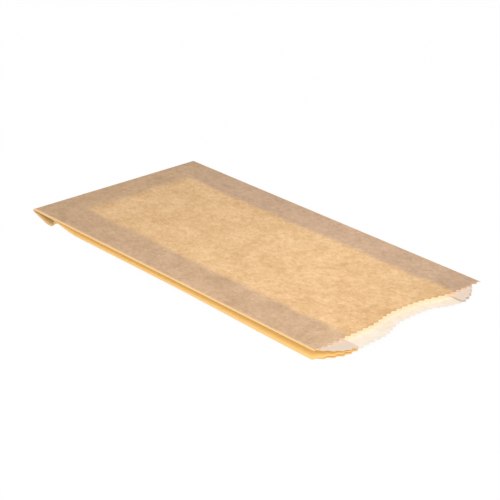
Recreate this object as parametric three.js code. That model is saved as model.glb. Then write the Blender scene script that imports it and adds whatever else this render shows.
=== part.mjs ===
// Side-gusseted paper bag for hot food, lying flat with its front panel up.
// One glued tube of paper: a front panel, a back panel with a lap seam, and
// two gussets folded in between them. The closed end is folded under as a
// flap. The serrated mouth has a short front, a lip and a thumb notch.
// Millimetres, +Z up. X is the width, Y the length, and the mouth is at -Y.

import * as THREE from "three";

// Driving dimensions
const bagWidth = 120;
const frontLength = 238;
const gussetDepth = 22;
const paper = 0.12;
const layerGap = 0.08;

// Closed end: the flap springs down from its crease until its end is flat
const flapLength = 17.6;
const flapAngle = THREE.MathUtils.degToRad(17);
const flapEase = 14;
const footStrip = 2.4;
const flapSpread = 1.5;
const creaseRadius = 0.24;
const stackLength = 14;
const openingRun = 28;

// How far the folded layers stand apart, as depths below the front panel.
// The far side, at +X, is pressed flatter, so the panel slopes down to it.
const sideOpening = 3.3;
const mouthOpening = 1.6;
const farShare = 0.49;
const mouthRun = 120;
const gussetDrop = 0.8;
const mouthGussetDrop = 0.6;
const backDrop = 1.2;
const mouthBackDrop = 0.5;
const backBowRun = 44;
const mouthRise = 0.8;
const mouthRiseLength = 40;

// Mouth cut: the knife leaves the front shorter than the layers behind it
const lip = 8.2;
const lipSkew = 2.4;
const cornerRun = 22;
const cornerSetback = 6.5;
const knifeOverhang = 2;
const knifeOffset = 2;
const notchFlat = 16;
const notchSide = 22;
const notchOffset = 8;
const frontNotchDepth = 4;
const lipNotchDepth = 6.4;
const toothPitch = 4;
const toothDepth = 1.4;

// Lap seam down the middle of the back
const seamWidth = 12;
const seamStep = 0.4;

// Fineness
const teethPerColumn = 2;
const foldSegments = 3;
const creaseSegments = 8;
const bodyRows = 9;
const openingRows = 5;
const flapRows = 4;
const mouthStrip = 12;

const foldRadius = (paper + layerGap) / 2;
const layerPitch = 2 * foldRadius;
const foldX = bagWidth / 2 - foldRadius - paper / 2;
const gussetX = bagWidth / 2 - gussetDepth + foldRadius + paper / 2;
const stackDepth = 3 * layerPitch;
const bendRadius = stackDepth + creaseRadius;

const lipReach = lip + (lipSkew * (bagWidth / 2 - cornerRun + knifeOverhang + knifeOffset)) / bagWidth
  + toothDepth / 2;
const bagLength = frontLength + lipReach;
const foldY = bagLength / 2 - bendRadius - paper / 2;

const smooth = (value, start, run) => THREE.MathUtils.smoothstep(value, start, start + run);

const openShare = (x) => THREE.MathUtils.lerp(1, farShare, x / bagWidth + 0.5);
const frontHeight = (x) => stackDepth + (sideOpening + mouthOpening) * openShare(x) + paper / 2;

// Everything below is laid out along the tube: "run" is the distance from
// the start of the crease towards the mouth, negative in the crease and flap.

const bodyLength = frontLength - bendRadius - paper / 2;
const creaseTurn = Math.PI - flapAngle;
const creaseLength = bendRadius * creaseTurn;
const easeLength = flapEase * flapAngle;

// Place in Y and Z of a point at a run along the tube and a depth below the
// front panel, measured square to the paper stack.
function place(x, run, depth) {
  const height = frontHeight(x);
  if (run >= 0) {
    return [foldY - run, height - depth];
  }
  const past = -run;
  if (past <= creaseLength) {
    const turn = past / bendRadius;
    const radius = bendRadius - depth;
    return [foldY + radius * Math.sin(turn), height - bendRadius + radius * Math.cos(turn)];
  }
  const creaseBottom = height - bendRadius + bendRadius * Math.cos(creaseTurn);
  const slopeDrop = creaseBottom - paper / 2 - flapEase * (1 - Math.cos(flapAngle));
  const slopeLength = slopeDrop / Math.sin(flapAngle);
  const onSlope = Math.min(past - creaseLength, slopeLength);
  let y = foldY + bendRadius * Math.sin(creaseTurn) - onSlope * Math.cos(flapAngle);
  let z = creaseBottom - onSlope * Math.sin(flapAngle);
  let slope = flapAngle;
  const beyond = past - creaseLength - slopeLength;
  if (beyond > 0) {
    const eased = Math.min(beyond, easeLength);
    slope = flapAngle - eased / flapEase;
    y -= flapEase * (Math.sin(flapAngle) - Math.sin(slope)) + (beyond - eased);
    z -= flapEase * (Math.cos(slope) - Math.cos(flapAngle));
  }
  return [y - depth * Math.sin(slope), z + depth * Math.cos(slope)];
}

// Depths of the layers at an x and a run along the tube
function section(x, run) {
  const share = openShare(x);
  const opened = smooth(run, stackLength, openingRun);
  const atMouth = smooth(run, bodyLength - mouthRun, mouthRun);
  const spread = 1 + (flapSpread - 1) * smooth(-run, creaseLength, flapLength);
  return {
    rise: mouthRise * smooth(run, bodyLength - mouthRiseLength, mouthRiseLength),
    fold: foldRadius * spread,
    gusset: layerPitch * spread + gussetDrop * opened + mouthGussetDrop * atMouth,
    side: stackDepth * spread + (sideOpening * opened + mouthOpening * atMouth) * share,
    back: stackDepth * spread + backDrop * opened + mouthBackDrop * atMouth,
  };
}

// Columns run round the tube. Each gives its point in the section as x and
// depth, with the outward normal there, and says which cut line ends it.

const notch = (x) => 1 - smooth(Math.abs(x - notchOffset), notchFlat / 2, notchSide);

function frontPoint(x, run) {
  const arch = Math.cos((Math.PI * x) / (2 * foldX)) ** 2;
  return { x, depth: -section(x, run).rise * arch, normal: [0, -1] };
}

function backPoint(x, run) {
  const { side, back } = section(x, run);
  const inset = Math.min((foldX - Math.abs(x)) / backBowRun, 1);
  const bow = (1 - inset) ** 2;
  return { x, depth: back + (side - back) * bow, normal: [0, 1] };
}

function upperGussetPoint(x, run) {
  const { fold, gusset } = section(x, run);
  const share = (foldX - Math.abs(x)) / (foldX - gussetX);
  return { x, depth: 2 * fold + (gusset - 2 * fold) * share, normal: [0, 1] };
}

function lowerGussetPoint(x, run) {
  const { fold, gusset, side } = section(x, run);
  const curve = (1 - (foldX - Math.abs(x)) / (foldX - gussetX)) ** 2;
  const inner = gusset + 2 * fold;
  return { x, depth: inner + (side - 2 * fold - inner) * curve, normal: [0, -1] };
}

function sideFoldPoint(sideSign, angle, run, top) {
  const { fold, side } = section(sideSign * foldX, run);
  const centre = top ? fold : side - fold;
  const normal = [sideSign * Math.cos(angle), Math.sin(angle)];
  return { x: sideSign * foldX + fold * normal[0], depth: centre + fold * normal[1], normal };
}

function gussetFoldPoint(sideSign, angle, run) {
  const { fold, gusset } = section(sideSign * gussetX, run);
  const normal = [sideSign * Math.cos(angle), -Math.sin(angle)];
  return { x: sideSign * gussetX - fold * normal[0], depth: gusset + fold - fold * normal[1], normal };
}

const columns = [];

// lipShare is 0 where the front's cut ends the column and 1 where the lip's does
function addColumn(lipShare, coarse, point, seamed = false) {
  columns.push({ lipShare, coarse, point, seamed });
}

// A panel has a column at each tooth tip and valley, and a coarse column,
// which runs the whole length, after every few teeth and at the seam.
function addPanel(panel, from, to, point) {
  const half = toothPitch / 2;
  const heading = Math.sign(to - from);
  const places = [];
  const steps = Math.floor(bagWidth / half + 0.5);
  for (let step = 1; step < steps; step += 1) {
    const x = step * half - bagWidth / 2;
    const inside = (x - from) * heading > half / 4 && (to - x) * heading > half / 4;
    if (inside) {
      places.push({ x, coarse: step % (2 * teethPerColumn) === 0 });
    }
  }
  if (panel === "back") {
    for (const edge of seamEdges) {
      places.push({ x: edge, coarse: true });
    }
  }
  places.sort((a, b) => (a.x - b.x) * heading);
  for (const { x, coarse } of places) {
    addColumn(panel === "front" ? 0 : 1, coarse, (run) => point(x, run), panel === "back");
  }
}

function addFold(startCut, endCut, point) {
  for (let step = 0; step <= foldSegments; step += 1) {
    const share = step / foldSegments;
    const angle = -Math.PI / 2 + Math.PI * share;
    addColumn(THREE.MathUtils.lerp(startCut, endCut, share), true, (run) => point(angle, run));
  }
}

const seamEdges = [-1, 1].flatMap((side) => [
  side * (seamWidth / 2 + seamStep),
  side * (seamWidth / 2),
]);

function seamExtra(x) {
  return paper * (1 - smoothLinear(Math.abs(x), seamWidth / 2, seamStep));
}

function smoothLinear(value, start, run) {
  return THREE.MathUtils.clamp((value - start) / run, 0, 1);
}

addPanel("front", -foldX, foldX, frontPoint);
addFold(0, 1, (angle, run) => sideFoldPoint(1, angle, run, true));
addPanel("gusset", foldX, gussetX, upperGussetPoint);
addFold(1, 1, (angle, run) => gussetFoldPoint(1, angle, run));
addPanel("gusset", gussetX, foldX, lowerGussetPoint);
addFold(1, 1, (angle, run) => sideFoldPoint(1, angle, run, false));
addPanel("back", foldX, -foldX, backPoint);
addFold(1, 1, (angle, run) => sideFoldPoint(-1, -angle, run, false));
addPanel("gusset", -foldX, -gussetX, lowerGussetPoint);
addFold(1, 1, (angle, run) => gussetFoldPoint(-1, -angle, run));
addPanel("gusset", -gussetX, -foldX, upperGussetPoint);
addFold(1, 0, (angle, run) => sideFoldPoint(-1, -angle, run, true));

// How far a column's cut lies beyond the mouth line. The knife rounds the
// lip's corners off behind that line, and slits the side folds to do so.
function cutLine(lipShare, x, teeth) {
  const share = (x + bagWidth / 2) / toothPitch;
  const wave = 4 * Math.abs(share - Math.floor(share) - 0.5) - 1;
  const tooth = teeth ? (wave * toothDepth) / 2 : 0;
  const frontCut = -frontNotchDepth * notch(x);
  const inset = bagWidth / 2 + knifeOverhang - Math.abs(x + knifeOffset);
  const corner = Math.sin((Math.PI / 2) * THREE.MathUtils.clamp(inset / cornerRun, 0, 1));
  const length = lip - (lipSkew * x) / bagWidth;
  const lipCut = (length + cornerSetback) * corner - cornerSetback - lipNotchDepth * notch(x);
  return tooth + THREE.MathUtils.lerp(frontCut, lipCut, lipShare);
}

const positions = [];
const indices = [];

// Outer and inner vertex of one column at one run
function addPair(column, run) {
  const { x, depth, normal } = column.point(run);
  const extra = column.seamed ? seamExtra(x) : 0;
  return [paper / 2 + extra, -paper / 2].map((offset) => {
    const [y, z] = place(x, run, depth + normal[1] * offset);
    positions.push(x + normal[0] * offset, y, z);
    return positions.length / 3 - 1;
  });
}

const face = (a, b, c) => indices.push(a, b, c);

// Both skins between two rows of pairs, where the second row may have more
// columns than the first one: the surplus fans out from the nearer pair.
function addSkins(first, second, flip) {
  const count = second.length;
  for (let index = 0; index < count; index += 1) {
    const next = (index + 1) % count;
    const here = first[index];
    const there = first[next];
    for (const skin of [0, 1]) {
      const turned = (skin === 1) !== flip;
      const corners = [here[skin], there[skin], second[next][skin], second[index][skin]];
      const ring = turned ? corners.reverse() : corners;
      for (const [a, b, c] of [[0, 1, 2], [0, 2, 3]]) {
        if (ring[a] !== ring[b] && ring[b] !== ring[c] && ring[c] !== ring[a]) {
          face(ring[a], ring[b], ring[c]);
        }
      }
    }
  }
}

function addRim(row, flip) {
  for (let index = 0; index < row.length; index += 1) {
    const [outer, inner] = row[index];
    const [nextOuter, nextInner] = row[(index + 1) % row.length];
    if (flip) {
      face(outer, nextInner, nextOuter);
      face(outer, inner, nextInner);
    } else {
      face(outer, nextOuter, nextInner);
      face(outer, nextInner, inner);
    }
  }
}

const coarseColumns = columns.filter((column) => column.coarse);

// A coarse row repeated so that each fine column has the coarse pair that
// its tooth fans out from.
function spreadRow(row) {
  const nearest = [];
  const places = columns.map((column, index) => (column.coarse ? index : -1)).filter((index) => index >= 0);
  for (let index = 0; index < columns.length; index += 1) {
    let best = 0;
    for (let k = 0; k < places.length; k += 1) {
      if (Math.abs(places[k] - index) < Math.abs(places[best] - index)) {
        best = k;
      }
    }
    nearest.push(row[best]);
  }
  return nearest;
}

const coarseRow = (runOf) => coarseColumns.map((column) => addPair(column, runOf(column)));
const fineRow = (runOf) => columns.map((column) => addPair(column, runOf(column)));

const even = (from, to, steps) => {
  return Array.from({ length: steps }, (_, step) => from + ((to - from) * step) / steps);
};

// Runs of the straight rows, from the mouth strip to the flap
const openingEnd = stackLength + openingRun;
const stations = [
  ...even(bodyLength - mouthStrip, openingEnd, bodyRows),
  ...even(openingEnd, stackLength, openingRows),
  stackLength,
  stackLength / 2,
  ...even(0, -creaseLength, creaseSegments),
  -creaseLength,
];

const flapEnd = (column, teeth) => {
  const { x } = column.point(-creaseLength);
  return -(flapLength + bendRadius * (creaseTurn - 1) - cutLine(column.lipShare, x, teeth));
};
const mouthEnd = (column) => bodyLength + cutLine(column.lipShare, column.point(bodyLength).x, true);

const rows = stations.map((run) => coarseRow(() => run));
for (let step = 1; step <= flapRows; step += 1) {
  const share = step / flapRows;
  const foot = (column) => flapEnd(column, false) + footStrip;
  rows.push(coarseRow((column) => THREE.MathUtils.lerp(-creaseLength, foot(column), share)));
}

const mouthRow = fineRow(mouthEnd);
const flapRow = fineRow((column) => flapEnd(column, true));

addRim(mouthRow, true);
addSkins(spreadRow(rows[0]), mouthRow, true);
for (let index = 0; index + 1 < rows.length; index += 1) {
  addSkins(rows[index], rows[index + 1], false);
}
addSkins(spreadRow(rows.at(-1)), flapRow, false);
addRim(flapRow, false);

const sheet = new THREE.BufferGeometry();
sheet.setAttribute("position", new THREE.Float32BufferAttribute(positions, 3));
sheet.setIndex(indices);
sheet.computeVertexNormals();

const kraft = new THREE.MeshStandardMaterial({ color: 0xebc291, roughness: 0.9, metalness: 0 });
const paperBag = new THREE.Mesh(sheet, kraft);
paperBag.name = "paper_bag";

const bag = new THREE.Group();
bag.add(paperBag);

export default bag;
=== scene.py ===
import math

import bpy
from mathutils import Matrix, Vector


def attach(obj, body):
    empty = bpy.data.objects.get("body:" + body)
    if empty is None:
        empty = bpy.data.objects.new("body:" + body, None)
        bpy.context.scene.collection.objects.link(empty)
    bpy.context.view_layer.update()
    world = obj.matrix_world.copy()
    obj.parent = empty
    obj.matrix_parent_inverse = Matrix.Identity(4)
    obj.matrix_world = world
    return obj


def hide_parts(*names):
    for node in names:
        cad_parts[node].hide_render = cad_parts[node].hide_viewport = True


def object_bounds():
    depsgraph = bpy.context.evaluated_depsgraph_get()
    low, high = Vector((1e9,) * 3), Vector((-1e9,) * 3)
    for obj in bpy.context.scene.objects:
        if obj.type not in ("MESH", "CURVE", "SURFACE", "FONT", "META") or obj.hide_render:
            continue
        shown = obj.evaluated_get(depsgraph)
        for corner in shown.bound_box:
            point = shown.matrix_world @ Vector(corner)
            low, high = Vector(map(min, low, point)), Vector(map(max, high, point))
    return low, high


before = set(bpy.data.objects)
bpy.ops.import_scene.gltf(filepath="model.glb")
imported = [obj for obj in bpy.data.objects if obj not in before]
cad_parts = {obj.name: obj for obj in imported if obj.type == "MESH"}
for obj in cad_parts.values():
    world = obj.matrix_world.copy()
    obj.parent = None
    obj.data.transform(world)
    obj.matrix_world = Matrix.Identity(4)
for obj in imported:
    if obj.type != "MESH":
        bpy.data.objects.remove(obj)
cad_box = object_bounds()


# The bag's sheet of paper, in millimetres. One web of two-ply paper, brown
# kraft outside and white inside, glued into a flat tube with tucked-in gussets,
# cut with a serrated knife, and folded under and glued at its closed end.
BAG_WIDTH = 120
FRONT_LENGTH = 238
GUSSET_DEPTH = 22
PAPER = 0.12
FOLD_RADIUS = 0.1
RADII_IN_STACK = 6
CREASE_RADIUS = 0.24
FLAP_LENGTH = 17.6
FLAP_ANGLE = math.radians(17)
LIP = 8.2
LIP_SKEW = 2.4
CORNER_RUN = 22
CORNER_SETBACK = 6.5
KNIFE_OVERHANG = 2
KNIFE_OFFSET = 2
NOTCH_FLAT = 16
NOTCH_SIDE = 22
NOTCH_OFFSET = 8
FRONT_NOTCH = 4
LIP_NOTCH = 6.4
TOOTH_PITCH = 4
TOOTH_DEPTH = 1.4

FOLD_X = BAG_WIDTH / 2 - FOLD_RADIUS - PAPER / 2
GUSSET_X = BAG_WIDTH / 2 - GUSSET_DEPTH + FOLD_RADIUS + PAPER / 2
STACK_DEPTH = RADII_IN_STACK * FOLD_RADIUS
BEND_RADIUS = STACK_DEPTH + CREASE_RADIUS
BODY_LENGTH = FRONT_LENGTH - BEND_RADIUS - PAPER / 2
CREASE_LENGTH = BEND_RADIUS * (math.pi - FLAP_ANGLE)
FLAP_END = FLAP_LENGTH + CREASE_LENGTH - BEND_RADIUS


def ramp(value, start, run):
    """Rises softly from 0 at the start to 1 at the end of the run."""
    share = min(max((value - start) / run, 0), 1)
    return share * share * (3 - 2 * share)


def notch(x):
    """1 in the thumb notch's flat middle and 0 beyond its sides."""
    return 1 - ramp(abs(x - NOTCH_OFFSET), NOTCH_FLAT / 2, NOTCH_SIDE)


def cut_line(lip_share, x, teeth):
    """How far the knife's cut at an x lies beyond the mouth line."""
    share = (x + BAG_WIDTH / 2) / TOOTH_PITCH
    wave = 4 * abs(share - math.floor(share) - 0.5) - 1
    tooth = wave * TOOTH_DEPTH / 2 if teeth else 0
    front_cut = -FRONT_NOTCH * notch(x)
    inset = BAG_WIDTH / 2 + KNIFE_OVERHANG - abs(x + KNIFE_OFFSET)
    corner = math.sin(math.pi / 2 * min(max(inset / CORNER_RUN, 0), 1))
    length = LIP - LIP_SKEW * x / BAG_WIDTH
    lip_cut = (length + CORNER_SETBACK) * corner - CORNER_SETBACK - LIP_NOTCH * notch(x)
    return tooth + front_cut + (lip_cut - front_cut) * lip_share


# The flat web, before it is folded. A column of points runs the web's whole
# length, and holds what the folding needs: the layer that it lies in, as
# shares of the layers' depths, and the way that its paper faces. It also
# holds the weights of the painted light and shade on it.
BACK_BOW_RUN = 44
SEAM_WIDTH = 12
SEAM_STEP = 0.4
SUPPORT = 0.5
TOOTH_CLEARANCE = 1.5 * SUPPORT
FOLD_STEPS = 6
FOOT_STRIP = 2.4
MOUTH_STRIP = 14
STRIP_SHARES = (0.12, 0.3, 0.5, 0.75)
OPENING_END = 44
BODY_ROWS = 70
OPENING_ROWS = 24
CREASE_ROWS = 14
FLAP_ROWS = 12
# Weights of painted light: a painted highlight along the side folds, painted light and shade on
# the tucked-in layers and painted through light on the back under the flap, less of it near the
# crease, and a painted pale glow at the far gusset's cut.
EDGE_LIGHT = 0.7
UNDER_FLAP_LIGHT = 0.6
UNDER_FLAP_START = 11
UNDER_FLAP_RUN = 6
FLAP_DIMMING = 0.5
FLAP_DIMMING_RUN = 12
FAR_CUT_RUN = 8
COLUMN_VALUES = (
    "middle", "reach", "faces_across", "faces_down", "front_share",
    "fold_share", "gusset_share", "side_share", "back_share", "fold_light", "covered_through_light",
)
columns = []


def depth_shares(panel, x):
    """A panel's depth at an x, in shares of the layers' own depths."""
    share = (FOLD_X - abs(x)) / (FOLD_X - GUSSET_X)
    if panel == "upper gusset":
        return {"fold_share": 2 - 2 * share, "gusset_share": share}
    if panel == "lower gusset":
        curve = (1 - share) ** 2
        return {"fold_share": 2 - 4 * curve, "gusset_share": 1 - curve, "side_share": curve}
    if panel == "back":
        curve = (1 - min((FOLD_X - abs(x)) / BACK_BOW_RUN, 1)) ** 2
        return {"back_share": 1 - curve, "side_share": curve}
    return {"front_share": 1}


def add_panel(panel, start, end, faces_down):
    """A panel's columns, one at each tooth's tip and valley and at each edge."""
    heading = 1 if end > start else -1
    half_tooth = TOOTH_PITCH / 2
    places = {start + heading * SUPPORT, end - heading * SUPPORT}
    for step in range(1, round(BAG_WIDTH / half_tooth)):
        x = step * half_tooth - BAG_WIDTH / 2
        if min((x - start) * heading, (end - x) * heading) > TOOTH_CLEARANCE:
            places.add(x)
    if panel == "back":
        for side in (-1, 1):
            places |= {side * SEAM_WIDTH / 2, side * (SEAM_WIDTH / 2 + SEAM_STEP)}
    for x in sorted(places, key=lambda place: place * heading):
        beside_near_fold = panel == "front" and x == min(places)
        columns.append({
            "panel": panel,
            "lip_share": 0 if panel == "front" else 1,
            "middle": x,
            "faces_down": faces_down,
            # Painted light and shade on the tucked-in gussets, a painted highlight beside the near
            # side fold, and painted warm light on the back under the near gusset.
            "tucked_light_and_shade": 1 if "gusset" in panel else 0,
            "fold_light": EDGE_LIGHT if beside_near_fold else 0,
            "covered_through_light": 1 if panel == "back" and x < -GUSSET_X else 0,
            **depth_shares(panel, x),
        })


def add_fold(fold, side, middle, lip_shares, shares, tucked_light_and_shade, fold_light):
    """A half-round fold, from one panel's edge to the next one's."""
    inward = fold == "gusset fold"
    start, end = lip_shares
    for step in range(FOLD_STEPS + 1):
        angle = side * (math.pi * step / FOLD_STEPS - math.pi / 2)
        across = side * math.cos(angle)
        down = -math.sin(angle) if inward else math.sin(angle)
        columns.append({
            "panel": fold,
            "lip_share": start + (end - start) * step / FOLD_STEPS,
            "middle": side * middle,
            "reach": -across if inward else across,
            "faces_across": across,
            "faces_down": down,
            "tucked_light_and_shade": tucked_light_and_shade,
            "fold_light": fold_light,
            **shares(down),
        })


def top_fold(down):
    return {"fold_share": 1 + down}


def low_fold(down):
    return {"fold_share": down - 1, "side_share": 1}


def inner_fold(down):
    return {"fold_share": 1 - down, "gusset_share": 1}


# Each fold carries its painted highlight and the painted light and shade of the tucked-in layers.
add_panel("front", -FOLD_X, FOLD_X, -1)
add_fold("side fold", 1, FOLD_X, (0, 1), top_fold, tucked_light_and_shade=0.3, fold_light=0.4)
add_panel("upper gusset", FOLD_X, GUSSET_X, 1)
add_fold("gusset fold", 1, GUSSET_X, (1, 1), inner_fold, tucked_light_and_shade=1, fold_light=0)
add_panel("lower gusset", GUSSET_X, FOLD_X, -1)
add_fold("side fold", 1, FOLD_X, (1, 1), low_fold, tucked_light_and_shade=0.5, fold_light=0.24)
add_panel("back", FOLD_X, -FOLD_X, 1)
add_fold("side fold", -1, FOLD_X, (1, 1), low_fold, tucked_light_and_shade=0.5, fold_light=0.6)
add_panel("lower gusset", -FOLD_X, -GUSSET_X, -1)
add_fold("gusset fold", -1, GUSSET_X, (1, 1), inner_fold, tucked_light_and_shade=1, fold_light=0)
add_panel("upper gusset", -GUSSET_X, -FOLD_X, 1)
add_fold("side fold", -1, FOLD_X, (1, 0), top_fold, tucked_light_and_shade=0.3, fold_light=1)


def even(start, end, rows):
    """Evenly spaced runs from the start, without the end."""
    return [start + (end - start) * step / rows for step in range(rows)]


def stations(lip_share, x):
    """Runs of a column's points, from its mouth cut to its flap cut."""
    mouth = BODY_LENGTH + cut_line(lip_share, x, False)
    strip = BODY_LENGTH - MOUTH_STRIP
    foot = cut_line(lip_share, x, False) - FLAP_END + FOOT_STRIP
    return [
        BODY_LENGTH + cut_line(lip_share, x, True),
        *[mouth + (strip - mouth) * share for share in STRIP_SHARES],
        *even(strip, OPENING_END, BODY_ROWS),
        *even(OPENING_END, 0, OPENING_ROWS),
        *even(0, -CREASE_LENGTH, CREASE_ROWS),
        *even(-CREASE_LENGTH, foot, FLAP_ROWS),
        foot,
        cut_line(lip_share, x, True) - FLAP_END,
    ]


point_values = {name: [] for name in (*COLUMN_VALUES, "tucked_light_and_shade", "pale_glowing_cut")}
flat_points = []
grid = []
for column in columns:
    x = column["middle"] + FOLD_RADIUS * column.get("reach", 0)
    on_back = column["panel"] == "back"
    on_far_gusset = column["panel"] == "lower gusset" and x > 0
    from_seam = (abs(x) - SEAM_WIDTH / 2) / SEAM_STEP
    seam = min(max(1 - from_seam, 0), 1) if on_back else 0
    rows = []
    for run in stations(column["lip_share"], x):
        # Painted through light on the back under the flap, painted light dimmed near the crease,
        # and a painted pale glow at the far gusset's cut.
        beyond_flap = ramp(run, UNDER_FLAP_START, UNDER_FLAP_RUN)
        under_flap = UNDER_FLAP_LIGHT * (1 - beyond_flap) if on_back else 0
        dimming = FLAP_DIMMING * (1 - ramp(run, 0, FLAP_DIMMING_RUN))
        at_cut = ramp(run, BODY_LENGTH - FAR_CUT_RUN, FAR_CUT_RUN)
        values = {
            **column,
            "tucked_light_and_shade": max(column["tucked_light_and_shade"] * (1 - dimming), under_flap),
            "pale_glowing_cut": at_cut if on_far_gusset else 0,
        }
        rows.append((len(flat_points), len(flat_points) + 1))
        for skin in (PAPER * (0.5 + seam), -PAPER / 2):
            flat_points.append((x, run, skin))
            for name, listed in point_values.items():
                listed.append(values.get(name, 0))
    grid.append(rows)

faces = []
inner_ply = []
for index, rows in enumerate(grid):
    next_rows = grid[(index + 1) % len(grid)]
    for row in range(len(rows) - 1):
        here, there = rows[row], next_rows[row]
        below, beyond = rows[row + 1], next_rows[row + 1]
        faces.append((here[0], there[0], beyond[0], below[0]))
        faces.append((here[1], below[1], beyond[1], there[1]))
        inner_ply += [False, True]
    faces.append((rows[0][0], rows[0][1], next_rows[0][1], next_rows[0][0]))
    faces.append((rows[-1][0], next_rows[-1][0], next_rows[-1][1], rows[-1][1]))
    brown_edge = columns[index]["middle"] < 0 and columns[index]["tucked_light_and_shade"] > 0
    inner_ply += [not brown_edge, not brown_edge]

web = bpy.data.meshes.new("flat_web")
web.from_pydata(flat_points, [], faces)
for name, values in point_values.items():
    web.attributes.new(name, "FLOAT", "POINT").data.foreach_set("value", values)
web.attributes.new("inner_ply", "BOOLEAN", "FACE").data.foreach_set("value", inner_ply)
bag = bpy.data.objects.new("bag_paper", web)
bpy.context.scene.collection.objects.link(bag)


# Brown kraft, the outside ply. Unbleached fibre with a cloudy look, a little
# darker along the front's cut. The layers that lie behind it at the sides and
# the closed end show as bands of painted shade. The glued lap and the crease
# lines near the mouth carry painted shade too, and painted shade darkens it
# towards the closed end and at the far side of the mouth. Painted light: a
# highlight along the side folds, warm light with a glow where the paper is
# tucked in and under the flap, and a pale glow at the far gusset's cut.
MM = 0.001
CREASE_Y = cad_box[1][1] / MM
BLACK = (0, 0, 0, 1)
CLOUDS = {"scale": 70, "detail": 2, "roughness": 0.6}
PULP = {"scale": 300, "detail": 3, "roughness": 0.75, "stretch": (1, 0.75, 1)}
FIBRES = {"scale": 1300, "detail": 2, "roughness": 0.6, "stretch": (1, 0.35, 1)}
BAND_WANDER = {"scale": 55, "detail": 2, "roughness": 0.6}
BENDS = {"scale": 48, "detail": 2, "roughness": 0.5, "stretch": (1, 0.8, 1)}
CLOUD_TONE = 0.9
PULP_TONE = 1.5
FIBRE_TONE = 1.2
CLOUD_RELIEF = 0.4
PULP_RELIEF = 0.4
FIBRE_RELIEF = 0.2
RELIEF_STRENGTH = 0.25
RELIEF_DEPTH = 0.1
KRAFT_ROUGHNESS = 0.72
KRAFT_ROUGHNESS_RANGE = 0.16
KRAFT_SPECULAR = 0.25
WANDER_REACH = 7
NEAR_SHADE_BAND_EDGE = (26, 20.5)
FAR_SHADE_BAND_EDGE = (23.5, 18)
FLAP_SHADE_BAND_EDGE = (27, 16)
FLAP_SHADE_BAND_DEPTH = 0.9
BEND_WIDTH = (0.045, 0.002)
CREASE_SHADE_ALONG = (-60, -100)
CREASE_SHADE_ACROSS = (32, 8)
CREASE_SHADE_DEPTH = 0.26
FRONT_CUT_STRIP_RUN = 3
FRONT_CUT_STRIP_DEPTH = 0.3
LAP_SHADE_DEPTH = 0.75
BACK_ONLY = (0.5, 0.9)
SHADE_START = -40
SHADE_RUN = 160
SHADE_DEPTH = 0.18
MOUTH_SHADE_ALONG = (-30, -112)
MOUTH_SHADE_ACROSS = (0, 45)
MOUTH_SHADE = 0.09
FOLD_LIGHT_DEPTH = 0.95
GLOW_STRENGTH = 0.12


def colour(red, green, blue):
    """A written colour of 0 to 255 as Blender's own linear one."""
    def channel(value):
        value /= 255
        return value / 12.92 if value <= 0.04045 else ((value + 0.055) / 1.055) ** 2.4
    return channel(red), channel(green), channel(blue), 1


class Wire:
    """A socket in a tree of nodes. Arithmetic on it adds Math nodes."""

    def __init__(self, tree, socket=None):
        self.tree = tree
        self.socket = socket

    def node(self, kind, settings=None, inputs=None, output=0):
        made = self.tree.nodes.new(kind)
        for name, value in (settings or {}).items():
            setattr(made, name, value)
        for key, value in (inputs or {}).items():
            if isinstance(value, Wire):
                self.tree.links.new(value.socket, made.inputs[key])
            else:
                made.inputs[key].default_value = value
        return Wire(self.tree, made.outputs[output])

    def feeds(self, target):
        self.tree.links.new(self.socket, target)

    def maths(self, operation, *terms):
        settings = {"operation": operation}
        return self.node("ShaderNodeMath", settings, dict(enumerate(terms)))

    def __add__(self, other):
        return self.maths("ADD", self, other)

    def __radd__(self, other):
        return self.maths("ADD", other, self)

    def __sub__(self, other):
        return self.maths("SUBTRACT", self, other)

    def __rsub__(self, other):
        return self.maths("SUBTRACT", other, self)

    def __mul__(self, other):
        return self.maths("MULTIPLY", self, other)

    def __rmul__(self, other):
        return self.maths("MULTIPLY", other, self)

    def __truediv__(self, other):
        return self.maths("DIVIDE", self, other)

    def absolute(self):
        return self.maths("ABSOLUTE", self)

    def sine(self):
        return self.maths("SINE", self)

    def cosine(self):
        return self.maths("COSINE", self)

    def at_least(self, limit):
        return self.maths("MAXIMUM", self, limit)

    def at_most(self, limit):
        return self.maths("MINIMUM", self, limit)

    def step(self, low, high):
        """Rises softly from 0 at low to 1 at high."""
        limits = {"Value": self, "From Min": low, "From Max": high}
        return self.node("ShaderNodeMapRange", {"interpolation_type": "SMOOTHSTEP"}, limits)

    def step_mm(self, low, high):
        """The same, on a length in metres, with low and high in millimetres."""
        return self.step(low * MM, high * MM)

    def mixed(self, first, second):
        """The first colour, turned into the second where this value is 1."""
        # A Mix node's colour sockets go by number, because its names repeat
        colours = {0: self, 6: first, 7: second}
        return self.node("ShaderNodeMix", {"data_type": "RGBA"}, colours, 2)


def new_paper(name):
    """A new material, a wire in its tree and its shader."""
    paper = bpy.data.materials.new(name)
    paper.use_nodes = True
    return paper, Wire(paper.node_tree), paper.node_tree.nodes["Principled BSDF"]


def place_on_paper(wire):
    """The place as a vector, and its parts across and along the bag."""
    at = wire.node("ShaderNodeTexCoord", output="Object")
    across = wire.node("ShaderNodeSeparateXYZ", inputs={0: at}, output="X")
    along = wire.node("ShaderNodeSeparateXYZ", inputs={0: at}, output="Y")
    return at, across, along


def from_point(wire, name):
    return wire.node("ShaderNodeAttribute", {"attribute_name": name}, output="Fac")


def grain(wire, at, scale, detail, roughness, stretch=(1, 1, 1)):
    """Fibre noise of about 0 to 1, at a scale in spots to the metre."""
    shaped = wire.node("ShaderNodeMapping", {}, {"Vector": at, "Scale": stretch})
    sockets = {"Vector": shaped, "Scale": scale, "Detail": detail, "Roughness": roughness}
    return wire.node("ShaderNodeTexNoise", {}, sockets)


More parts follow.
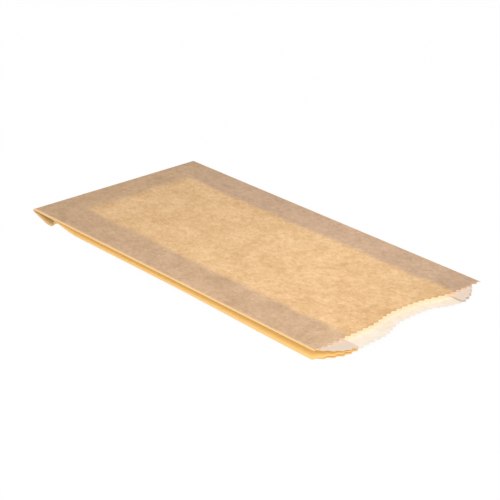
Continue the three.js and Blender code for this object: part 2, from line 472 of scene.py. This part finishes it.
def from_front_cut(across, along):
    """How far a place lies from the front's cut, towards the closed end."""
    from_notch = (across - NOTCH_OFFSET * MM).absolute()
    notched = from_notch.step_mm(NOTCH_FLAT / 2 + NOTCH_SIDE, NOTCH_FLAT / 2)
    return along - notched * (FRONT_NOTCH * MM) - (CREASE_Y - FRONT_LENGTH) * MM


KRAFT_LIGHT = colour(255, 214, 164)
KRAFT_DARK = colour(216, 170, 115)
NEAR_SHADE_BAND_LIGHT = colour(227, 190, 154)
NEAR_SHADE_BAND_DARK = colour(191, 155, 120)
FAR_SHADE_BAND_LIGHT = colour(225, 189, 156)
FAR_SHADE_BAND_DARK = colour(190, 156, 127)
FLAP_SHADE_BAND_LIGHT = colour(226, 190, 154)
FLAP_SHADE_BAND_DARK = colour(190, 155, 119)
KRAFT_TUCKED_LIGHT = colour(236, 202, 138)
KRAFT_DARKER = colour(196, 148, 92)
KRAFT_FOLD_HIGHLIGHT = colour(250, 210, 155)
KRAFT_GLOW = colour(249, 228, 140)
KRAFT_PALE = colour(228, 212, 200)
PALE_GLOW = colour(214, 202, 190)

kraft, wire, shader = new_paper("kraft_outside")
at, across, along = place_on_paper(wire)
clouds = grain(wire, at, **CLOUDS)
pulp = grain(wire, at, **PULP)
fibres = grain(wire, at, **FIBRES)
wander = (grain(wire, at, **BAND_WANDER) - 0.5) * (WANDER_REACH * MM)

# Painted shade: bands where more layers lie behind the panel.
near_shade_band = (across + wander + (BAG_WIDTH / 2) * MM).step_mm(*NEAR_SHADE_BAND_EDGE)
far_shade_band = ((BAG_WIDTH / 2) * MM - across + wander).step_mm(*FAR_SHADE_BAND_EDGE)
flap_shade_band = (CREASE_Y * MM - along + wander).step_mm(*FLAP_SHADE_BAND_EDGE)

mottle = (clouds - 0.5) * CLOUD_TONE + (pulp - 0.5) * PULP_TONE + (fibres - 0.5) * FIBRE_TONE + 0.5
tone = mottle.mixed(KRAFT_DARK, KRAFT_LIGHT)
# Painted shade along crease lines near the mouth.
bends = (grain(wire, at, **BENDS) - 0.5).absolute().step(*BEND_WIDTH)
crease_shade_zone = along.step_mm(*CREASE_SHADE_ALONG) * across.absolute().step_mm(*CREASE_SHADE_ACROSS)
tone = (bends * crease_shade_zone * CREASE_SHADE_DEPTH).mixed(tone, KRAFT_DARKER)
# A darker strip along the front's cut.
front_cut_strip = from_front_cut(across, along).step_mm(FRONT_CUT_STRIP_RUN, 0) * FRONT_CUT_STRIP_DEPTH
tone = front_cut_strip.mixed(tone, KRAFT_DARKER)
tone = near_shade_band.mixed(tone, mottle.mixed(NEAR_SHADE_BAND_DARK, NEAR_SHADE_BAND_LIGHT))
tone = far_shade_band.mixed(tone, mottle.mixed(FAR_SHADE_BAND_DARK, FAR_SHADE_BAND_LIGHT))
tone = (flap_shade_band * FLAP_SHADE_BAND_DEPTH).mixed(tone, mottle.mixed(FLAP_SHADE_BAND_DARK, FLAP_SHADE_BAND_LIGHT))

# Painted shade at the glued lap on the back, where the paper lies doubled.
lap_shade = across.absolute().step_mm(SEAM_WIDTH / 2 + SEAM_STEP, SEAM_WIDTH / 2)
lap_shade = lap_shade * from_point(wire, "back_share").step(*BACK_ONLY) * LAP_SHADE_DEPTH
tone = lap_shade.mixed(tone, mottle.mixed(NEAR_SHADE_BAND_DARK, NEAR_SHADE_BAND_LIGHT))

shade = (along - SHADE_START * MM) / (SHADE_RUN * MM)
shade = wire.node("ShaderNodeClamp", {}, {"Value": shade}) * SHADE_DEPTH
far_mouth = along.step_mm(*MOUTH_SHADE_ALONG) * across.step_mm(*MOUTH_SHADE_ACROSS)
tone = (shade + far_mouth * MOUTH_SHADE).mixed(tone, BLACK)

# Painted light: warm bounce and through light with a glow on the tucked-in layers and under the
# flap, a painted highlight on the folds, and a pale painted glow at the far gusset's cut.
tucked_light_mask = from_point(wire, "tucked_light_and_shade")
glowing_far_cut = from_point(wire, "pale_glowing_cut")
tone = tucked_light_mask.mixed(tone, KRAFT_TUCKED_LIGHT)
tone = (from_point(wire, "fold_light") * FOLD_LIGHT_DEPTH).mixed(tone, KRAFT_FOLD_HIGHLIGHT)
tone = glowing_far_cut.mixed(tone, KRAFT_PALE)
glow = glowing_far_cut.mixed(tucked_light_mask.mixed(BLACK, KRAFT_GLOW), PALE_GLOW)

relief = clouds * CLOUD_RELIEF + pulp * PULP_RELIEF + fibres * FIBRE_RELIEF
bump = {"Strength": RELIEF_STRENGTH, "Distance": RELIEF_DEPTH * MM, "Height": relief}
tone.feeds(shader.inputs["Base Color"])
(KRAFT_ROUGHNESS + KRAFT_ROUGHNESS_RANGE * clouds).feeds(shader.inputs["Roughness"])
wire.node("ShaderNodeBump", {}, bump).feeds(shader.inputs["Normal"])
glow.feeds(shader.inputs["Emission Color"])
shader.inputs["Emission Strength"].default_value = GLOW_STRENGTH
shader.inputs["Specular IOR Level"].default_value = KRAFT_SPECULAR


# White inner ply, bleached and smooth. The kraft behind it warms it a little,
# and it shows on the lip, inside the mouth and at most cut edges. Painted shade
# greys it on the tucked-in gussets, and painted warm light with a glow colours
# it on the back under the near gusset. A painted glow stands in for light
# through the paper, brighter inside the mouth than on the lip and cut edges.
WHITE_PLY = colour(236, 225, 213)
WHITE_PLY_WARM = colour(229, 214, 193)
WHITE_GUSSET_SHADE = colour(214, 193, 177)
COVERED_PLY_WARM_LIGHT = colour(240, 205, 150)
RIM_GLOW = colour(145, 138, 126)
INSIDE_GLOW = colour(255, 236, 204)
COVERED_GLOW = colour(200, 160, 90)
THROUGH_LIGHT = 0.3
PLY_CLOUDS = {"scale": 240, "detail": 3, "roughness": 0.6}
WARM_CLOUDS = (0.3, 0.75)
WHITE_GUSSET_SHADE_DEPTH = 0.85
INSIDE_EDGE = (-2, 4)
PLY_ROUGHNESS = 0.6
PLY_ROUGHNESS_RANGE = 0.15
PLY_RELIEF_STRENGTH = 0.12
PLY_RELIEF_DEPTH = 0.04

white_ply, wire, shader = new_paper("white_inside")
at, across, along = place_on_paper(wire)
clouds = grain(wire, at, **PLY_CLOUDS)
covered_through_light = from_point(wire, "covered_through_light")
tone = clouds.step(*WARM_CLOUDS).mixed(WHITE_PLY, WHITE_PLY_WARM)
# Painted shade on the tucked-in gussets' white faces.
tone = (from_point(wire, "tucked_light_and_shade") * WHITE_GUSSET_SHADE_DEPTH).mixed(tone, WHITE_GUSSET_SHADE)
# Painted warm light with a glow on the back's white face under the near gusset.
tone = covered_through_light.mixed(tone, COVERED_PLY_WARM_LIGHT)
inside = from_front_cut(across, along).step_mm(*INSIDE_EDGE)
glow = covered_through_light.mixed(inside.mixed(RIM_GLOW, INSIDE_GLOW), COVERED_GLOW)
bump = {"Strength": PLY_RELIEF_STRENGTH, "Distance": PLY_RELIEF_DEPTH * MM, "Height": clouds}
tone.feeds(shader.inputs["Base Color"])
(PLY_ROUGHNESS + PLY_ROUGHNESS_RANGE * clouds).feeds(shader.inputs["Roughness"])
wire.node("ShaderNodeBump", {}, bump).feeds(shader.inputs["Normal"])
glow.feeds(shader.inputs["Emission Color"])
shader.inputs["Emission Strength"].default_value = THROUGH_LIGHT


# The folding. It lays each point of the flat web in its place: down to its
# own layer of the pressed stack, and round the crease at the closed end, where
# the tube's end is folded under and springs down to the table.
BEND_Y = CREASE_Y - BEND_RADIUS - PAPER / 2
STACK_LENGTH = 14
OPENING_RUN = 28
SIDE_OPENING = 3.3
MOUTH_OPENING = 1.6
MOUTH_RUN = 120
FAR_SHARE = 0.49
GUSSET_DROP = 0.8
MOUTH_GUSSET_DROP = 0.6
BACK_DROP = 1.2
MOUTH_BACK_DROP = 0.5
MOUTH_RISE_LENGTH = 40
FOLDING_SIZES = {
    "Bag width": BAG_WIDTH,
    "Body length": BODY_LENGTH,
    "Paper": PAPER,
    "Fold radius": FOLD_RADIUS,
    "Crease radius": CREASE_RADIUS,
    "Side opening": SIDE_OPENING,
    "Mouth opening": MOUTH_OPENING,
    "Far share": FAR_SHARE,
    "Mouth rise": 0.8,
    "Flap angle": FLAP_ANGLE,
    "Flap ease": 14,
    "Flap spread": 1.5,
    "Gusset ridge": 0.1,
    "Unevenness": 0.42,
    "Uneven width": 34,
    "Uneven length": 62,
    "Ripple": 0.1,
    "Ripple width": 11,
    "Ripple length": 17,
    "Crumple": 0.35,
    "Crumple width": 9,
    "Crumple length": 14,
    "Seed": 3.1,
}
RIPPLE_SEED_STEP = 5.3
CRUMPLE_SEED_STEP = 2.6
EVEN_EDGE = (1, 17)
EVEN_END = (24, 64)
RIDGE_START = (8, 28)
RIDGE_ACROSS = (GUSSET_X - 5, GUSSET_X + 1)
CRUMPLED_FROM_MOUTH = (55, 15)
CRUMPLED_FROM_EDGE = (4, 24)
SHARP_EDGE = math.radians(50)

folding = bpy.data.node_groups.new("fold_bag", "GeometryNodeTree")
folding.interface.new_socket("Geometry", in_out="INPUT", socket_type="NodeSocketGeometry")
folding.interface.new_socket("Geometry", in_out="OUTPUT", socket_type="NodeSocketGeometry")
settings = bag.modifiers.new("folding", "NODES")
for name, value in FOLDING_SIZES.items():
    socket = folding.interface.new_socket(name, in_out="INPUT", socket_type="NodeSocketFloat")
    socket.default_value = value
settings.node_group = folding
for socket in folding.interface.items_tree:
    if socket.in_out == "INPUT" and socket.name in FOLDING_SIZES:
        settings[socket.identifier] = FOLDING_SIZES[socket.name]

wire = Wire(folding)
entry = folding.nodes.new("NodeGroupInput")
size = {name: Wire(folding, entry.outputs[name]) for name in FOLDING_SIZES}


def from_web(name):
    return wire.node("GeometryNodeInputNamedAttribute", {"data_type": "FLOAT"}, {"Name": name})


def rise_and_fall(x, run, kind, seed):
    """Noise of about -1 to 1, in spots of a kind's width and length."""
    spot = {0: x / size[kind + " width"], 1: run / size[kind + " length"], 2: seed}
    place = wire.node("ShaderNodeCombineXYZ", {}, spot)
    flat_noise = {"Vector": place, "Scale": 1, "Detail": 0}
    return wire.node("ShaderNodeTexNoise", {}, flat_noise) * 2 - 1


flat_place = wire.node("GeometryNodeInputPosition")
run = wire.node("ShaderNodeSeparateXYZ", {}, {0: flat_place}, "Y")
skin = wire.node("ShaderNodeSeparateXYZ", {}, {0: flat_place}, "Z")
middle = from_web("middle")

bend_radius = RADII_IN_STACK * size["Fold radius"] + size["Crease radius"]
crease_turn = math.pi - size["Flap angle"]
crease_length = bend_radius * crease_turn
opened = run.step(STACK_LENGTH, STACK_LENGTH + OPENING_RUN)
at_mouth = run.step(size["Body length"] - MOUTH_RUN, size["Body length"])
on_flap = (0 - run).step(crease_length, crease_length + FLAP_LENGTH)
spread = 1 + (size["Flap spread"] - 1) * on_flap


def open_share(x):
    return 1 + (size["Far share"] - 1) * (x / size["Bag width"] + 0.5)


fold = size["Fold radius"] * spread
apart = (size["Side opening"] * opened + size["Mouth opening"] * at_mouth) * open_share(middle)
depths = {
    "fold_share": fold,
    "gusset_share": 2 * fold + GUSSET_DROP * opened + MOUTH_GUSSET_DROP * at_mouth,
    "side_share": RADII_IN_STACK * fold + apart,
    "back_share": RADII_IN_STACK * fold + BACK_DROP * opened + MOUTH_BACK_DROP * at_mouth,
}
depth = from_web("faces_down") * skin
for name, layer_depth in depths.items():
    depth = depth + from_web(name) * layer_depth
x = middle + fold * from_web("reach")

from_edge = size["Bag width"] / 2 - x.absolute()
smoothed_ends = from_edge.step(*EVEN_EDGE) * run.step(*EVEN_END)
uneven = size["Unevenness"] * rise_and_fall(x, run, "Uneven", size["Seed"])
ripple = size["Ripple"] * rise_and_fall(x, run, "Ripple", size["Seed"] + RIPPLE_SEED_STEP)
crumpled = rise_and_fall(x, run, "Crumple", size["Seed"] + CRUMPLE_SEED_STEP).absolute()
arch = (x * (math.pi / (2 * FOLD_X))).cosine()
rise_start = size["Body length"] - MOUTH_RISE_LENGTH
rise = size["Mouth rise"] * run.step(rise_start, size["Body length"]) * arch * arch
ridge = size["Gusset ridge"] * x.absolute().step(*RIDGE_ACROSS) * run.step(*RIDGE_START)
crumple_start, crumple_full = CRUMPLED_FROM_MOUTH
near_mouth = run.step(size["Body length"] - crumple_start, size["Body length"] - crumple_full)
crumple = size["Crumple"] * crumpled * (near_mouth * from_edge.step(*CRUMPLED_FROM_EDGE))
depth = depth - from_web("front_share") * (rise + ridge + crumple)
depth = depth - smoothed_ends * (uneven + ripple)

height = RADII_IN_STACK * size["Fold radius"] + size["Paper"] / 2
height = height + (size["Side opening"] + size["Mouth opening"]) * open_share(x)
past = (0 - run).at_least(0)
turned = past.at_most(crease_length) / bend_radius
drop = height + bend_radius * (crease_turn.cosine() - 1) - size["Paper"] / 2
drop = drop - size["Flap ease"] * (1 - size["Flap angle"].cosine())
beyond_crease = (past - crease_length).at_least(0)
sloped = beyond_crease.at_most(drop / size["Flap angle"].sine())
beyond_slope = beyond_crease - sloped
eased = beyond_slope.at_most(size["Flap ease"] * size["Flap angle"])
eased_turn = eased / size["Flap ease"]
slope = size["Flap angle"] - eased_turn
heading = turned + eased_turn

y = BEND_Y - run.at_least(0) + bend_radius * turned.sine() - sloped * size["Flap angle"].cosine()
y = y - size["Flap ease"] * (size["Flap angle"].sine() - slope.sine()) - (beyond_slope - eased)
z = height + bend_radius * (turned.cosine() - 1) - sloped * size["Flap angle"].sine()
z = z - size["Flap ease"] * (slope.cosine() - size["Flap angle"].cosine())
folded_place = wire.node("ShaderNodeCombineXYZ", {}, {
    "X": (x + from_web("faces_across") * skin) * MM,
    "Y": (y - depth * heading.sine()) * MM,
    "Z": (z - depth * heading.cosine()) * MM,
})
yes_or_no = {"data_type": "BOOLEAN"}
inner = wire.node("GeometryNodeInputNamedAttribute", yes_or_no, {"Name": "inner_ply"})
folded = wire.node("GeometryNodeSetPosition", {}, {
    "Geometry": Wire(folding, entry.outputs["Geometry"]),
    "Position": folded_place,
})
folded = wire.node("GeometryNodeRealizeInstances", {}, {"Geometry": folded})
folded = wire.node("GeometryNodeSetMaterial", {}, {"Geometry": folded, "Material": kraft})
papered = {"Geometry": folded, "Selection": inner, "Material": white_ply}
folded = wire.node("GeometryNodeSetMaterial", {}, papered)
leaving = folding.nodes.new("NodeGroupOutput")
folded.feeds(leaving.inputs["Geometry"])

bpy.context.view_layer.update()
evaluated = bag.evaluated_get(bpy.context.evaluated_depsgraph_get())
bag_mesh = bpy.data.meshes.new_from_object(evaluated)
bag_mesh.name = "bag_paper"
bag.modifiers.clear()
bag.data = bag_mesh
bpy.data.meshes.remove(web)
bag_mesh.polygons.foreach_set("use_smooth", [True] * len(bag_mesh.polygons))
bag_mesh.set_sharp_from_angle(angle=SHARP_EDGE)
bag_mesh.validate()
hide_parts("paper_bag")
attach(bag, "root")


# The surface that the bag lies on: a plain white sheet that keeps a faint soft
# shadow, and looks nearly as white as the backdrop to the camera.
FLOOR_SIZE = 6
FLOOR_DROP = 0.1 * MM
FLOOR_WHITE = 0.95
FLOOR_ROUGHNESS = 0.9
FLOOR_SEEN_WHITE = 0.97
WHITE = (1, 1, 1, 1)


def seen_directly(wire):
    """1 to the camera, also by way of gloss or glass, and 0 to other light."""
    rays = ("Is Camera Ray", "Is Glossy Ray", "Is Transmission Ray")
    camera, gloss, glass = [wire.node("ShaderNodeLightPath", output=ray) for ray in rays]
    return (camera + gloss + glass).at_most(1)


floor_mesh = bpy.data.meshes.new("floor")
half = FLOOR_SIZE / 2
corners = [(-half, -half), (half, -half), (half, half), (-half, half)]
floor_mesh.from_pydata([(x, y, -FLOOR_DROP) for x, y in corners], [], [(0, 1, 2, 3)])
floor = bpy.data.objects.new("floor", floor_mesh)
bpy.context.scene.collection.objects.link(floor)

floor_paint = bpy.data.materials.new("floor_white")
floor_paint.use_nodes = True
floor_nodes = floor_paint.node_tree.nodes
wire = Wire(floor_paint.node_tree)
floor_shader = floor_nodes["Principled BSDF"]
floor_shader.inputs["Base Color"].default_value = (FLOOR_WHITE, FLOOR_WHITE, FLOOR_WHITE, 1)
floor_shader.inputs["Roughness"].default_value = FLOOR_ROUGHNESS
floor_shader.inputs["Specular IOR Level"].default_value = 0
lit_floor = Wire(floor_paint.node_tree, floor_shader.outputs[0])
plain_white = wire.node("ShaderNodeEmission", {}, {"Color": WHITE, "Strength": 1.0})
blend = {0: seen_directly(wire) * FLOOR_SEEN_WHITE, 1: lit_floor, 2: plain_white}
painted = wire.node("ShaderNodeMixShader", {}, blend)
painted.feeds(floor_nodes["Material Output"].inputs["Surface"])
floor_mesh.materials.append(floor_paint)


# Studio light: an even white surround, and a large soft lamp high beyond the
# mouth's near corner, which lights the panel, the lip and the open near side.
SURROUND = 0.68
LAMP_WATTS = 10
LAMP_SIZE = 0.9
LAMP_PLACE = Vector((-0.6, -0.75, 1.05))

world = bpy.data.worlds.new("surround")
world.use_nodes = True
bpy.context.scene.world = world
background = world.node_tree.nodes["Background"]
background.inputs["Color"].default_value = WHITE
wire = Wire(world.node_tree)
(SURROUND + seen_directly(wire) * (1 - SURROUND)).feeds(background.inputs["Strength"])

lamp_data = bpy.data.lights.new("soft_lamp", "AREA")
lamp_data.energy = LAMP_WATTS
lamp_data.size = LAMP_SIZE
lamp = bpy.data.objects.new("soft_lamp", lamp_data)
lamp.location = LAMP_PLACE
lamp.rotation_euler = LAMP_PLACE.to_track_quat("Z", "Y").to_euler()
bpy.context.scene.collection.objects.link(lamp)


# The camera: a long lens, looking down on the near long side of the bag from
# beyond its mouth.
TURN = math.radians(41.16)
PITCH = math.radians(23.83)
LENS = 118.5
SENSOR_WIDTH = 36
HEIGHT_OVER_PANEL = 364.1 * MM
PANEL_AHEAD = 833.6 * MM
PANEL_ASIDE = -2.5 * MM

near_height = STACK_DEPTH + PAPER + SIDE_OPENING + MOUTH_OPENING
far_height = STACK_DEPTH + PAPER + (SIDE_OPENING + MOUTH_OPENING) * FAR_SHARE
panel_centre = Vector((0, CREASE_Y - FRONT_LENGTH / 2, (near_height + far_height) / 2)) * MM
panel_slope = math.atan((near_height - far_height) / BAG_WIDTH)
ahead = Vector((math.sin(TURN), math.cos(TURN), 0))
aside = Vector((math.cos(TURN), -math.sin(TURN), 0))
eye = -PANEL_AHEAD * ahead - PANEL_ASIDE * aside
eye.z = HEIGHT_OVER_PANEL
camera_data = bpy.data.cameras.new("camera")
camera_data.lens = LENS
camera_data.sensor_width = SENSOR_WIDTH
camera = bpy.data.objects.new("camera", camera_data)
tilt = Matrix.Rotation(math.pi / 2 - PITCH, 4, "X")
over_panel = Matrix.Translation(panel_centre) @ Matrix.Rotation(panel_slope, 4, "Y")
camera.matrix_world = over_panel @ Matrix.Translation(eye) @ Matrix.Rotation(-TURN, 4, "Z") @ tilt
bpy.context.scene.collection.objects.link(camera)
bpy.context.scene.camera = camera
bpy.context.scene.view_settings.view_transform = "Standard"
